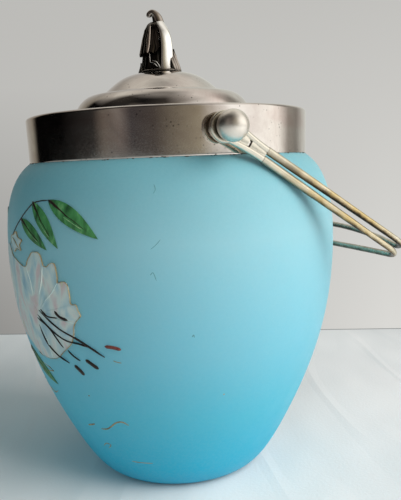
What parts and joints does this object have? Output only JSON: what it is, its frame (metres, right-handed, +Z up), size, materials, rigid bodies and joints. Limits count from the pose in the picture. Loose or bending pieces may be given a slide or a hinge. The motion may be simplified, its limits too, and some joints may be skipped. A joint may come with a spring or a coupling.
{
  "type": "biscuit barrel",
  "caption": "Satin glass biscuit barrel with a plated collar, a lift-off domed lid with a cast finial, and a double-wire swing handle.",
  "frame": {"origin": "centre of the jar's flat base, on the surface it stands on", "axes": "+Z up through the jar; Y along the handle's pivot line; +X towards the side the handle has dropped to at rest"},
  "size_m": [0.1506, 0.1528, 0.1993],
  "materials": {
    "satin_glass": "matte",
    "old_cement": "matte",
    "silver_plate": "satin",
    "worn_handle": "satin",
    "cast_finial": "satin",
    "plain_hardware": "satin"
  },
  "bodies": {
    "root": {"glass_jar": "satin_glass", "cement_ring": "old_cement", "rim_collar": "silver_plate", "lid_ledge": "silver_plate", "pivot_boss_near": "silver_plate", "pivot_boss_far": "silver_plate", "pivot_screw_near": "silver_plate", "pivot_screw_far": "silver_plate"},
    "handle": {"handle_eye_near": "worn_handle", "handle_eye_far": "worn_handle", "handle_wire_upper": "worn_handle", "handle_wire_lower": "worn_handle"},
    "lid": {"lid_cover": "silver_plate", "lid_sleeve": "silver_plate", "finial_base": "cast_finial", "finial_strap": "cast_finial", "finial_leaves": "cast_finial", "finial_bud": "cast_finial", "finial_stud": "plain_hardware", "finial_washer": "plain_hardware", "finial_nut": "plain_hardware"}
  },
  "joints": [
    {"name": "handle_swing", "type": "hinge", "parent": "root", "child": "handle", "pos_m": [0, 0, 0.1452], "axis": [0, -1, 0], "range_deg": [0, 244]},
    {"name": "lid_lift", "type": "slide", "parent": "root", "child": "lid", "axis": [0, 0, 1], "range_m": [0, 0.06]}
  ]
}
